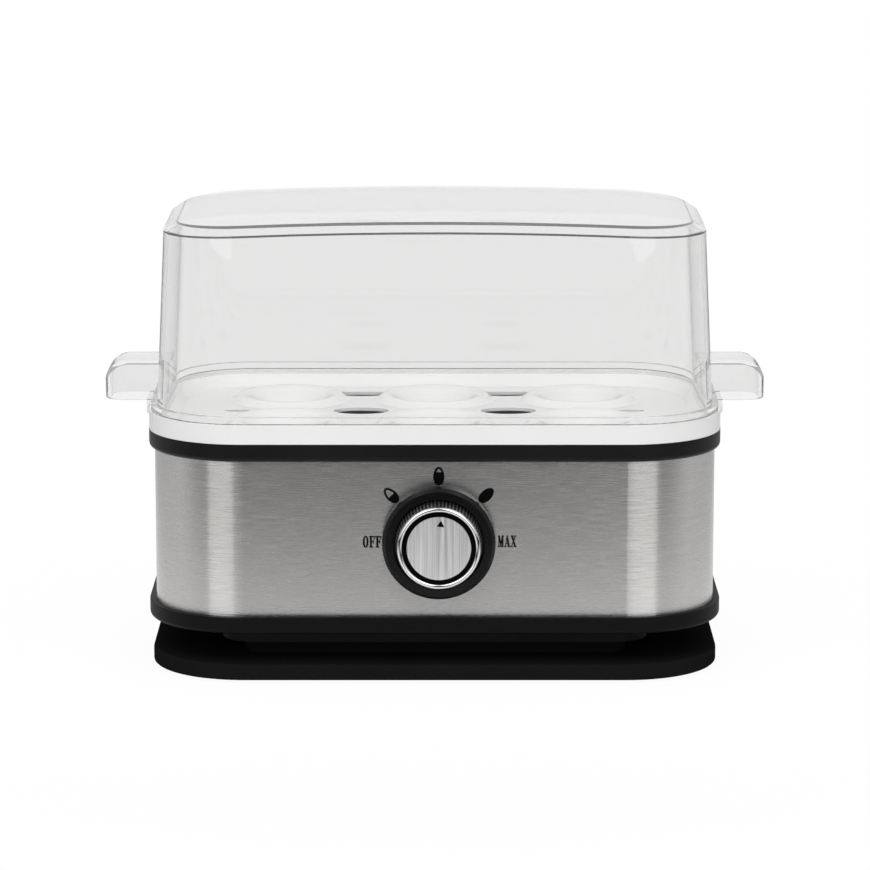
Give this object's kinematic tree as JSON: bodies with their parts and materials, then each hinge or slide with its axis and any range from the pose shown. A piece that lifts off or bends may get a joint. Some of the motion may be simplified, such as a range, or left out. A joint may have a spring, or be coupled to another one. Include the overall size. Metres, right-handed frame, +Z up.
{
  "type": "electric egg cooker",
  "caption": "Oblong electric egg cooker with a steel-clad base, front dial, white egg tray and clear lift-off lid.",
  "frame": {"origin": "centre of the cooker's box on the surface that it stands on", "axes": "+X to the right seen from the dial, +Y from the dial to the back, +Z up"},
  "size_m": [0.25, 0.1334, 0.1711],
  "materials": {
    "clear_plastic": "clear, polished",
    "white_plastic": "gloss moulded",
    "black_plastic": "satin moulded",
    "brushed_steel": "brushed along X",
    "dish_steel": "pressed, satin",
    "chrome": "bright",
    "cap_aluminium": "brushed upright",
    "plain_aluminium": "as rolled",
    "black_rubber": "matt",
    "silicone": "matt",
    "screw_steel": "zinc plated",
    "element_steel": "dull",
    "brass": "plain",
    "nylon": "matt moulded",
    "phenolic": "matt moulded",
    "wire_brown": "sleeved",
    "wire_blue": "sleeved",
    "wire_green": "sleeved"
  },
  "bodies": {
    "base": {"foot_plate": "black_plastic", "rubber_feet": "black_rubber", "foot_screws": "screw_steel", "bottom_housing": "black_plastic", "housing_screws": "screw_steel", "steel_sleeve": "brushed_steel", "top_collar": "black_plastic", "plate_seal": "silicone", "heating_plate": "dish_steel", "heat_spreader": "plain_aluminium", "heating_element": "element_steel", "plate_straps": "screw_steel", "strap_screws": "screw_steel", "thermostat": "phenolic", "thermal_fuse": "screw_steel", "regulator_body": "phenolic", "regulator_nut": "screw_steel", "knob_bezel": "black_plastic", "buzzer": "phenolic", "terminal_block": "nylon", "terminal_screws": "brass", "cord_gland": "black_plastic", "gland_nut": "black_plastic", "live_wire": "wire_brown", "switched_wire": "wire_brown", "neutral_wire": "wire_blue", "fuse_wire": "wire_blue", "earth_wire": "wire_green"},
    "tray": {"egg_tray": "white_plastic"},
    "lid": {"lid": "clear_plastic"},
    "knob": {"knob_body": "black_plastic", "knob_ring": "chrome", "knob_cap": "cap_aluminium", "knob_clip": "screw_steel", "regulator_shaft": "screw_steel"}
  },
  "joints": [
    {"name": "tray_lift", "type": "slide", "parent": "base", "child": "tray", "axis": [0, 0, 1], "range_m": [0, 0.06]},
    {"name": "lid_lift", "type": "slide", "parent": "tray", "child": "lid", "axis": [0, 0, 1], "range_m": [0, 0.11]},
    {"name": "knob_turn", "type": "hinge", "parent": "base", "child": "knob", "pos_m": [0.0015, -0.06675, 0.0535], "axis": [0, 1, 0], "range_deg": [-90, 90]}
  ]
}
